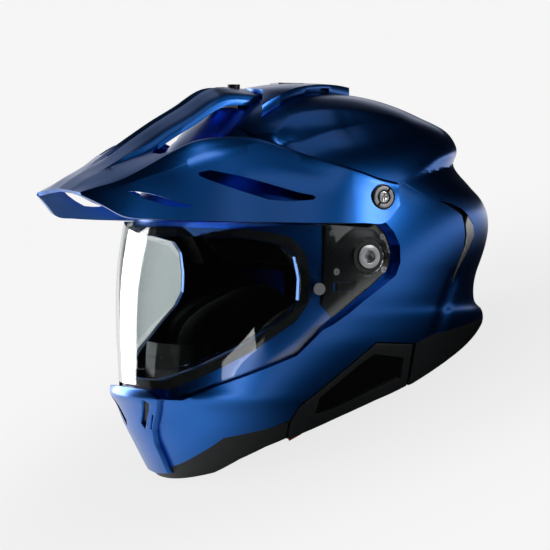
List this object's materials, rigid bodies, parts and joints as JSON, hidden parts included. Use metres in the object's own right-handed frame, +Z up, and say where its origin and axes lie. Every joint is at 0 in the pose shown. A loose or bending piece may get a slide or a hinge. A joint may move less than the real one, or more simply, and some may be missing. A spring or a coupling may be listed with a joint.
{
  "type": "dual sport helmet",
  "caption": "Full-face dual sport helmet with a long faceted peak, a wide clear shield that swings up, vents, comms bays and a padded lining, resting on its rim.",
  "frame": {"origin": "on the table under the middle of the resting helmet", "axes": "+X to the wearer's left, +Y towards the back of the head, +Z up from the table; the helmet rests on its rim, so it leans back by the rest tilt"},
  "size_m": [0.2578, 0.3387, 0.2614],
  "materials": {
    "shell_blue": "satin metallic blue paint on a moulded plastic shell",
    "peak_blue": "satin metallic blue paint on a moulded plastic peak",
    "black_trim": "fine-grained dark green-grey plastic",
    "gloss_black": "smooth gloss",
    "black_plastic": "matte",
    "foam_grey": "fine bead foam",
    "fabric_dark": "brushed knit",
    "mesh_fabric": "open knit",
    "rubber_black": "matte",
    "shield_clear": "clear polished polycarbonate",
    "insert_clear": "clear polished film",
    "silver_plastic": "satin silver paint",
    "bright_steel": "polished",
    "screw_grey": "satin dark grey",
    "lever_grey": "satin",
    "webbing_black": "woven webbing",
    "tab_red": "woven tape"
  },
  "bodies": {
    "helmet": {"outer_shell": "shell_blue", "impact_liner": "foam_grey", "chin_impact_liner": "foam_grey", "cheek_core_left": "foam_grey", "cheek_core_right": "foam_grey", "crown_pad": "fabric_dark", "cheek_pad_left": "fabric_dark", "cheek_pad_right": "fabric_dark", "neck_roll": "mesh_fabric", "chin_curtain": "mesh_fabric", "breath_guard": "rubber_black", "eyeport_gasket": "rubber_black", "chin_trim": "black_trim", "base_trim": "black_trim", "rim_seal": "rubber_black", "comms_bay_left": "black_trim", "comms_bay_right": "black_trim", "comms_cover_left": "gloss_black", "comms_cover_right": "gloss_black", "rear_vent_left": "black_plastic", "rear_vent_right": "black_plastic", "exhaust_strip_left": "silver_plastic", "exhaust_strip_right": "silver_plastic", "crown_fairing": "shell_blue", "peak_bracket": "black_plastic", "nose_cover": "shell_blue", "chin_vent_grille": "black_plastic", "base_plate_left": "black_plastic", "base_plate_right": "black_plastic", "base_plate_screws": "bright_steel", "pivot_hub_left": "silver_plastic", "pivot_hub_right": "silver_plastic", "peak": "peak_blue", "peak_centre_screw": "screw_grey", "chin_strap_left": "webbing_black", "chin_strap_right": "webbing_black", "strap_anchors": "bright_steel", "strap_pads": "fabric_dark", "release_tabs": "tab_red", "liner_snaps": "black_plastic"},
    "face_shield": {"face_shield": "shield_clear", "shield_gear_left": "lever_grey", "shield_gear_right": "lever_grey", "anti_fog_insert": "insert_clear", "insert_pins": "silver_plastic"},
    "release_lever_left": {"release_lever_left": "lever_grey"},
    "release_lever_right": {"release_lever_right": "lever_grey"},
    "crown_vent_slider": {"crown_vent_slider": "black_plastic"},
    "chin_vent_shutter": {"chin_vent_shutter": "black_plastic"},
    "peak_screw_left": {"peak_screw_left": "screw_grey"},
    "peak_screw_right": {"peak_screw_right": "screw_grey"},
    "strap_ring": {"strap_ring": "bright_steel"},
    "keeper_ring": {"keeper_ring": "bright_steel"}
  },
  "joints": [
    {"name": "shield_swing", "type": "hinge", "parent": "helmet", "child": "face_shield", "pos_m": [0, 0.0146, 0.109], "axis": [-1, 0, 0], "range_deg": [0, 34]},
    {"name": "lever_press_left", "type": "slide", "parent": "helmet", "child": "release_lever_left", "axis": [0, -0.9063, 0.4226], "range_m": [0, 0.003], "stiffness_N_per_m": 600},
    {"name": "lever_press_right", "type": "slide", "parent": "helmet", "child": "release_lever_right", "axis": [0, -0.9063, 0.4226], "range_m": [0, 0.003], "stiffness_N_per_m": 600},
    {"name": "crown_vent_slide", "type": "slide", "parent": "helmet", "child": "crown_vent_slider", "axis": [0, 0.9063, -0.4226], "range_m": [0, 0.008]},
    {"name": "chin_vent_slide", "type": "slide", "parent": "helmet", "child": "chin_vent_shutter", "axis": [0, 0, -1], "range_m": [0, 0.005]},
    {"name": "peak_screw_turn_left", "type": "hinge", "parent": "helmet", "child": "peak_screw_left", "pos_m": [0.12, 0.04353, 0.14557], "axis": [1, 0, 0], "continuous": true},
    {"name": "peak_screw_turn_right", "type": "hinge", "parent": "helmet", "child": "peak_screw_right", "pos_m": [-0.12, 0.04353, 0.14557], "axis": [-1, 0, 0], "continuous": true},
    {"name": "strap_ring_swing", "type": "hinge", "parent": "helmet", "child": "strap_ring", "pos_m": [0.0155, -0.05546, 0.00746], "axis": [0, 1, 0], "range_deg": [0, 12]},
    {"name": "keeper_ring_swing", "type": "hinge", "parent": "strap_ring", "child": "keeper_ring", "pos_m": [0.0155, -0.05546, 0.00746], "axis": [0, 1, 0], "range_deg": [0, 8]}
  ]
}
